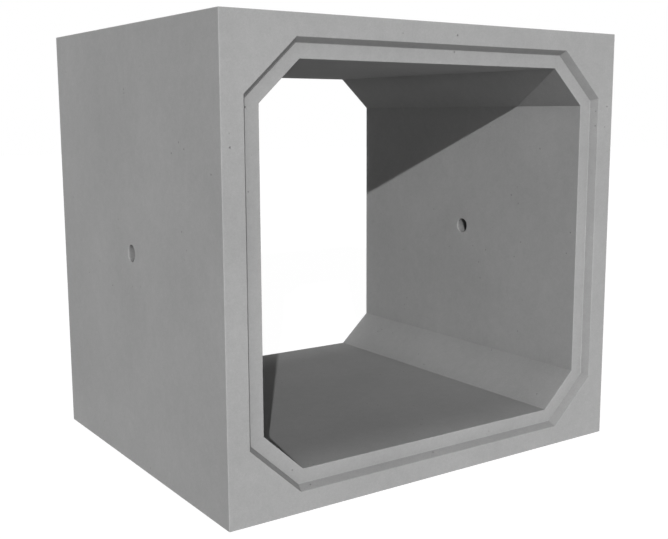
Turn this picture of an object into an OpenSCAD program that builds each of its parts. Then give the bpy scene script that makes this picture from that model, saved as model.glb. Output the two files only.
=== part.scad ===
// Precast concrete box culvert unit: one casting with an octagonal waterway, a socket at
// the front end, a spigot at the back end and a lifting hole through each side wall.
// +X runs across the span, +Y from the socket end to the spigot end, +Z up, in millimetres.
// The origin is on the underside, at the centre of the unit's overall box.

/* [Waterway] */
// Clear width between the side walls
opening_w = 1500; // [1000:50:2500]
// Clear height between the slabs
opening_h = 1400; // [1000:50:2500]
// Leg of each haunch along the slab
haunch_w = 155; // [80:5:300]
// Leg of each haunch up the wall
haunch_h = 145; // [80:5:300]

/* [Concrete] */
// Thickness of each side wall
wall_t = 155; // [125:5:250]
// Thickness of the top and bottom slabs
slab_t = 145; // [120:5:250]
// Laying length, from the socket face to the shoulder behind the spigot
laying_l = 1500; // [1000:50:2500]

/* [Joint] */
// Width of the socket rebate in the side walls, at its mouth
socket_wall_w = 72; // [50:1:80]
// Width of the socket rebate in the slabs, at its mouth
socket_slab_w = 69; // [50:1:80]
// Depth of the socket rebate
socket_depth = 32; // [20:1:60]
// How much the rebate narrows on each side from its mouth to its floor
joint_draft = 18; // [0:1:20]
// Space left round the spigot for the sealing strip
joint_gap = 5; // [3:0.5:12]
// Space left ahead of the spigot when two units are pushed home
end_gap = 2; // [1:0.5:8]

/* [Lifting holes] */
// Diameter of the hole through each side wall
lifting_d = 65; // [40:5:100]

/* [Hidden] */

outer_w = opening_w + 2 * wall_t;
outer_h = opening_h + 2 * slab_t;
spigot_l = socket_depth - end_gap;

// Ends of the unit along Y
socket_y = -(laying_l + spigot_l) / 2;
shoulder_y = socket_y + laying_l;
spigot_y = shoulder_y + spigot_l;

// How far the joint reaches outside the waterway, as [into the walls, into the slabs]
socket_band = [socket_wall_w, socket_slab_w];
spigot_band = socket_band - [joint_gap, joint_gap];

// How far a cutting tool runs past the face that it cuts
past = 10;
hole_fn = 96;

// Share by which both legs of a haunch grow on an outline that lies band outside the
// waterway, so that the band is as wide along the haunch as it is on average beside it. It
// goes in small steps, which keep the legs on whole hundredths and the drafted faces flat.
share_step = 0.002;
function haunch_share(band) =
    let (
        across = norm([haunch_w, haunch_h]) / (haunch_w * haunch_h),
        share = 1 + band.x / haunch_w + band.y / haunch_h - across * (band.x + band.y) / 2
    )
    share_step * round(share / share_step);

// The waterway's octagon with a band round it, as (x, z) points, anticlockwise from the
// foot of the right wall.
function outline(band = [0, 0]) =
    let (
        x = opening_w / 2 + band.x,
        low = slab_t - band.y,
        high = slab_t + opening_h + band.y,
        leg = [haunch_w, haunch_h] * haunch_share(band)
    ) [
        [x, low + leg.y], [x, high - leg.y], [x - leg.x, high], [leg.x - x, high],
        [-x, high - leg.y], [-x, low + leg.y], [leg.x - x, low], [x - leg.x, low]
    ];

// The joint's form: an octagon with the given band at y, narrowing towards +Y by
// joint_draft over each socket_depth. The socket and the spigot are both cut from it, so
// their slopes always agree.
module tapered_core(band, y) {
    draft = [joint_draft, joint_draft];
    wide = [for (p = outline(band + draft)) [p.x, y - socket_depth, p.y]];
    narrow = [for (p = outline(band - draft)) [p.x, y + socket_depth, p.y]];
    n = len(wide);
    polyhedron(
        points = concat(wide, narrow),
        faces = concat(
            [[for (i = [n - 1 : -1 : 0]) i]],
            [[for (i = [0 : n - 1]) n + i]],
            [for (i = [0 : n - 1]) [i, (i + 1) % n, n + (i + 1) % n, n + i]]
        )
    );
}

// A plain block as wide and high as the unit, from y0 to y1
module block(y0, y1) {
    translate([-outer_w / 2, y0, 0]) cube([outer_w, y1 - y0, outer_h]);
}

// The tongue that goes into the next unit's socket, still solid inside
module spigot() {
    intersection() {
        tapered_core(spigot_band, shoulder_y);
        block(shoulder_y - past, spigot_y);
    }
}

// The rebate inside the socket lip, which takes the spigot of the unit in front
module socket() {
    tapered_core(socket_band, socket_y);
}

// The waterway, run past both ends
module waterway() {
    translate([0, spigot_y + past, 0])
        rotate([90, 0, 0])
            linear_extrude(spigot_y - socket_y + 2 * past) polygon(outline());
}

// One line of holes through both side walls, at the middle of each wall
module lifting_holes() {
    translate([0, (socket_y + shoulder_y) / 2, outer_h / 2])
        rotate([0, 90, 0])
            cylinder(d = lifting_d, h = outer_w + 2 * past, center = true, $fn = hole_fn);
}

module culvert_unit() {
    color([0.62, 0.62, 0.62])
        difference() {
            union() {
                block(socket_y, shoulder_y);
                spigot();
            }
            waterway();
            socket();
            lifting_holes();
        }
}

culvert_unit();
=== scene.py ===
import math

import bpy
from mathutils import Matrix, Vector


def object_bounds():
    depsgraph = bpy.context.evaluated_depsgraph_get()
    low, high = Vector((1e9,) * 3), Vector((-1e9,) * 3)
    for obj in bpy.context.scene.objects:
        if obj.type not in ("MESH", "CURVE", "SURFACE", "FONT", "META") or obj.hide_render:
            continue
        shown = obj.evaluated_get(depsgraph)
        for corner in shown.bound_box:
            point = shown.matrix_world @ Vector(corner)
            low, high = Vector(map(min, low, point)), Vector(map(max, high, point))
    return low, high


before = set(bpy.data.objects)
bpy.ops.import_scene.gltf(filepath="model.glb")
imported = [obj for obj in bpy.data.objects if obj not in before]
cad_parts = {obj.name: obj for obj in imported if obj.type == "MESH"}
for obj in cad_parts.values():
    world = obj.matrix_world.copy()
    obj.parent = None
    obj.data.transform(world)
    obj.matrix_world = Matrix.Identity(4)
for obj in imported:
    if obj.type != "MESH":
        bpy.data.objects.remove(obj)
cad_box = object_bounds()

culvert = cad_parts["culvert_unit"]

# Lengths are in metres, angles in degrees, noise scales in features per metre. The socket end
# faces -Y, and a lamp's travel is the direction in which its light goes.

WHITE = (1, 1, 1, 1)

# ---------------------------------------------------------------- camera
CAMERA_AT = (-2.322, -3.510, 1.3635)
CAMERA_HEADING = 35.41              # clockwise from +Y, seen from above
CAMERA_PITCH = -8.81                # from the horizon, negative below it
CAMERA_LEVEL = 90.0                 # the turn from straight down, where a camera starts, to level
CAMERA_LENS = 52.73                 # mm
CAMERA_SENSOR = 36.0                # mm wide
CAMERA_SHIFT = (-0.04084, -0.00437)   # in widths of the frame
CAMERA_REACH = 100.0                # the far clip, beyond the floor's edges

# ---------------------------------------------------------------- light
KEY_TRAVEL = (0.504, 0.803, -0.323)   # from the front left and above, into the waterway
KEY_STRENGTH = 2.10
KEY_ANGLE = 0.6                     # across the sun's disc, as in the fills
FILLS = {                           # name: (travel, strength, angle)
    "front_fill": ((0.12, 1, -0.035), 0.79, 4),
    "corner_fill": ((0.91, 0.41, -0.070), 0.24, 30),
    "left_fill": ((1, 0, -0.035), 0.35, 4),
    "back_fill": ((0, -1, -0.035), 1.20, 4),
    "right_fill": ((-1, -0.06, -0.035), 0.85, 4),   # a little from behind, clear of the socket
    "top_fill": ((0, 0, -1), 0.80, 20),
}
WORLD_STRENGTH = 0.01               # close to nothing, because the lamps light the culvert
BACKDROP_STRENGTH = 1.0             # what the world shows by itself, where 1 is white

# ---------------------------------------------------------------- floor
FLOOR_SIZE = 60.0
FLOOR_DROP = 0.0005                 # keeps it off the culvert's base
FLOOR_GREY = 0.48                   # what it reflects onto the culvert
FLOOR_GLOW = 0.92                   # what it shows by itself, where 1 is white
FLOOR_SHADE = 0.5                   # share of the real lighting seen on top of the glow

# ---------------------------------------------------------------- concrete
# A NOISE is its scale and its detail. A TONE is the share by which a layer changes the grey,
# and a HEIGHT how far it stands proud.
CONCRETE_GREY = (0.400, 0.400, 0.400)
NOISE_MIDDLE = 0.5                  # a noise runs from 0 to 1
CLOUD_NOISE = (2.4, 3.0)            # broad clouding over a face
CLOUD_TONE = 0.20
SPECKLE_NOISE = (26.0, 4.0)         # blotches of cement paste
SPECKLE_TONE = 0.15
GRIT_NOISE = (110.0, 2.0)           # coarse grains just under the skin
GRIT_TONE = 0.14
GRIT_HEIGHT = 0.00010
SAND_NOISE = (420.0, 2.0)           # sand grain
SAND_TONE = 0.30
SAND_HEIGHT = 0.00020
FORM_NOISE = (5.0, 1.0)             # slight waves left by the form
FORM_HEIGHT = 0.0006
PORE_SCALE = 21.0                   # air pores, as a cast face shows
PORE_EDGE = (0.04, 0.09)            # bottom and rim of a pore, in cells of the pattern
PORE_CLEAR = (0.52, 0.60)           # pores open as the form's waves rise from one to the other
PORE_DEPTH = 0.0020
# painted shade in the pores' hollows
PORE_SHADE_TONE = -0.30
CORNER_SHADE_REACH = 0.12                # painted shade reaches this far from the inner corners
CORNER_SHADE_TONE = -0.45
ARRIS_REACH = 0.012                 # the arrises are paler over this width, from handling
ARRIS_TONE = 0.10
CORNER_SAMPLES = 8                  # rays that look for inner corners and arrises
JOINT_DEPTH = 0.034                 # the joint's slopes lie this near to the unit's ends
JOINT_SLANT = (0.49, 0.05)          # Y of their normals, and the tolerance on it
JOINT_SHADE_TONE = -0.12                  # painted shade on them
ROUGH_SPECKLE = (0.25, 0.75)        # as the speckle rises from one to the other,
ROUGHNESS = (0.78, 0.94)            # so does the roughness
SPECULAR_LEVEL = 0.1

# ---------------------------------------------------------------- arrises
WELD_DISTANCE = 0.00001
ARRIS_WIDTH = 0.0025
ARRIS_STEPS = 3                     # with 2, an unwrap lays some faces over each other
SHARP_ANGLE = 30.0                  # an edge with a sharper turn than this is rounded
FLAT_WEIGHT = 100                   # large faces set the shading at their edges, and stay flat


def add_camera():
    data = bpy.data.cameras.new("camera")
    data.lens = CAMERA_LENS
    data.sensor_width = CAMERA_SENSOR
    data.shift_x, data.shift_y = CAMERA_SHIFT
    data.clip_end = CAMERA_REACH
    cam = bpy.data.objects.new("camera", data)
    cam.location = CAMERA_AT
    tilt = math.radians(CAMERA_LEVEL + CAMERA_PITCH)
    cam.rotation_euler = (tilt, 0.0, math.radians(-CAMERA_HEADING))
    bpy.context.scene.collection.objects.link(cam)
    bpy.context.scene.camera = cam


def add_sun(name, travel, strength, angle):
    data = bpy.data.lights.new(name, "SUN")
    data.energy = strength
    data.angle = math.radians(angle)
    sun = bpy.data.objects.new(name, data)
    sun.rotation_euler = Vector(travel).to_track_quat("-Z", "Y").to_euler()
    bpy.context.scene.collection.objects.link(sun)


class Nodes:
    """Short calls for building one node tree."""

    def __init__(self, owner):
        owner.use_nodes = True
        self.tree = owner.node_tree
        self.tree.nodes.clear()

    def add(self, kind, inputs=None, **settings):
        node = self.tree.nodes.new("ShaderNode" + kind)
        for name, value in settings.items():
            setattr(node, name, value)
        for name, value in (inputs or {}).items():
            self.feed(node.inputs[name], value)
        return node

    def feed(self, socket, value):
        if isinstance(value, bpy.types.NodeSocket):
            self.tree.links.new(value, socket)
        else:
            socket.default_value = value

    def math(self, operation, a, b=0.0, c=0.0):
        return self.add("Math", {0: a, 1: b, 2: c}, operation=operation).outputs[0]

    def noise(self, place, scale, detail):
        inputs = {"Vector": place, "Scale": scale, "Detail": detail}
        return self.add("TexNoise", inputs).outputs["Fac"]

    def ramp(self, value, low, high, start, end):
        inputs = {"Value": value, 1: low, 2: high, 3: start, 4: end}
        return self.add("MapRange", inputs, interpolation_type="SMOOTHSTEP").outputs[0]

    def along_unit(self, vector):
        """How far the vector goes along the unit, from its socket end to its spigot end."""
        return self.add("SeparateXYZ", {"Vector": vector}).outputs["Y"]

    def closeness(self, reach, inside):
        """0 on open faces, rising near inner corners, or with inside near outer edges."""
        near = self.add("AmbientOcclusion", {"Distance": reach}, only_local=True, inside=inside)
        near.samples = CORNER_SAMPLES
        return self.math("SUBTRACT", 1.0, near.outputs["AO"])

    def tint(self, tone, mask, amount):
        """The tone, changed by amount where the mask is 1."""
        return self.math("MULTIPLY", tone, self.math("MULTIPLY_ADD", mask, amount, 1.0))

    def vary(self, tone, noise, amount):
        """The tone, changed by the noise about its middle."""
        return self.tint(tone, self.math("SUBTRACT", noise, NOISE_MIDDLE), amount)

    def seen(self):
        """1 on rays that show the backdrop: camera, glossy and transmission rays."""
        path = self.add("LightPath").outputs
        eye = self.math("MAXIMUM", path["Is Camera Ray"], path["Is Glossy Ray"])
        return self.math("MAXIMUM", eye, path["Is Transmission Ray"])


def add_world():
    world = bpy.data.worlds.new("studio")
    bpy.context.scene.world = world
    n = Nodes(world)
    lights = n.add("Background", {"Color": WHITE, "Strength": WORLD_STRENGTH}).outputs[0]
    shows = n.add("Background", {"Color": WHITE, "Strength": BACKDROP_STRENGTH}).outputs[0]
    sky = n.add("MixShader", {0: n.seen(), 1: lights, 2: shows}).outputs[0]
    n.add("OutputWorld", {"Surface": sky})


def add_floor():
    bpy.ops.mesh.primitive_plane_add(size=FLOOR_SIZE, location=(0, 0, -FLOOR_DROP))
    floor = bpy.context.object
    floor.name = "floor"
    mat = bpy.data.materials.new("floor")
    n = Nodes(mat)
    matt = n.add("BsdfDiffuse", {"Color": (FLOOR_GREY, FLOOR_GREY, FLOOR_GREY, 1)}).outputs[0]
    glow = n.add("Emission", {"Strength": FLOOR_GLOW}).outputs[0]
    dark = n.add("Emission", {"Strength": 0.0}).outputs[0]
    shade = n.add("MixShader", {0: FLOOR_SHADE, 1: dark, 2: matt}).outputs[0]
    shows = n.add("AddShader", {0: glow, 1: shade}).outputs[0]
    look = n.add("MixShader", {0: n.seen(), 1: matt, 2: shows}).outputs[0]
    n.add("OutputMaterial", {"Surface": look})
    floor.data.materials.append(mat)


def concrete():
    mat = bpy.data.materials.new("concrete")
    n = Nodes(mat)
    coordinates = n.add("TexCoord").outputs
    place = coordinates["Object"]
    cloud = n.noise(place, *CLOUD_NOISE)
    speckle = n.noise(place, *SPECKLE_NOISE)
    grit = n.noise(place, *GRIT_NOISE)
    sand = n.noise(place, *SAND_NOISE)
    form = n.noise(place, *FORM_NOISE)

    cells = n.add("TexVoronoi", {"Vector": place, "Scale": PORE_SCALE}).outputs["Distance"]
    hollow = n.ramp(cells, *PORE_EDGE, 1.0, 0.0)
    open_here = n.ramp(form, *PORE_CLEAR, 0.0, 1.0)
    pores = n.math("MULTIPLY", hollow, open_here)

    corner_shade = n.closeness(CORNER_SHADE_REACH, inside=False)
    arris = n.closeness(ARRIS_REACH, inside=True)
    worn = n.math("MULTIPLY", arris, speckle)

    along = n.math("ABSOLUTE", n.along_unit(place))
    slant = n.math("ABSOLUTE", n.along_unit(coordinates["Normal"]))
    at_end = n.math("GREATER_THAN", along, cad_box[1][1] - JOINT_DEPTH)
    joint_shade = n.math("MULTIPLY", at_end, n.math("COMPARE", slant, *JOINT_SLANT))

    tone = n.vary(1.0, cloud, CLOUD_TONE)
    tone = n.vary(tone, speckle, SPECKLE_TONE)
    tone = n.vary(tone, grit, GRIT_TONE)
    tone = n.vary(tone, sand, SAND_TONE)
    # painted shade in the pores
    tone = n.tint(tone, pores, PORE_SHADE_TONE)
    # painted shade: darker near the inner corners
    tone = n.tint(tone, corner_shade, CORNER_SHADE_TONE)
    tone = n.tint(tone, worn, ARRIS_TONE)
    # painted shade on the joint's slopes
    tone = n.tint(tone, joint_shade, JOINT_SHADE_TONE)
    colour = n.add("VectorMath", {0: CONCRETE_GREY, "Scale": tone}, operation="SCALE").outputs[0]

    # The heights are in metres, so the bump takes them at full strength and distance.
    height = n.math("MULTIPLY", sand, SAND_HEIGHT)
    height = n.math("MULTIPLY_ADD", grit, GRIT_HEIGHT, height)
    height = n.math("MULTIPLY_ADD", form, FORM_HEIGHT, height)
    height = n.math("MULTIPLY_ADD", pores, -PORE_DEPTH, height)
    bump = n.add("Bump", {"Strength": 1.0, "Distance": 1.0, "Height": height}).outputs[0]

    rough = n.ramp(speckle, *ROUGH_SPECKLE, *ROUGHNESS)
    inputs = {"Base Color": colour, "Roughness": rough, "Normal": bump}
    inputs["Specular IOR Level"] = SPECULAR_LEVEL
    surface = n.add("BsdfPrincipled", inputs).outputs[0]
    n.add("OutputMaterial", {"Surface": surface})
    return mat


def soften_arrises(obj):
    """Welds the split seams, rounds each sharp edge, and keeps the shading of the faces flat."""
    weld = obj.modifiers.new("weld", "WELD")
    weld.merge_threshold = WELD_DISTANCE
    bevel = obj.modifiers.new("arrises", "BEVEL")
    bevel.width = ARRIS_WIDTH
    bevel.segments = ARRIS_STEPS
    bevel.limit_method = "ANGLE"
    bevel.angle_limit = math.radians(SHARP_ANGLE)
    bevel.harden_normals = True
    shading = obj.modifiers.new("flat_faces", "WEIGHTED_NORMAL")
    shading.weight = FLAT_WEIGHT
    shading.keep_sharp = True


add_camera()
add_sun("key_light", KEY_TRAVEL, KEY_STRENGTH, KEY_ANGLE)
for name, (travel, strength, angle) in FILLS.items():
    add_sun(name, travel, strength, angle)
add_world()
add_floor()

cast = concrete()
for slot in culvert.material_slots:
    slot.material = cast
soften_arrises(culvert)

bpy.context.scene.view_settings.view_transform = "Standard"
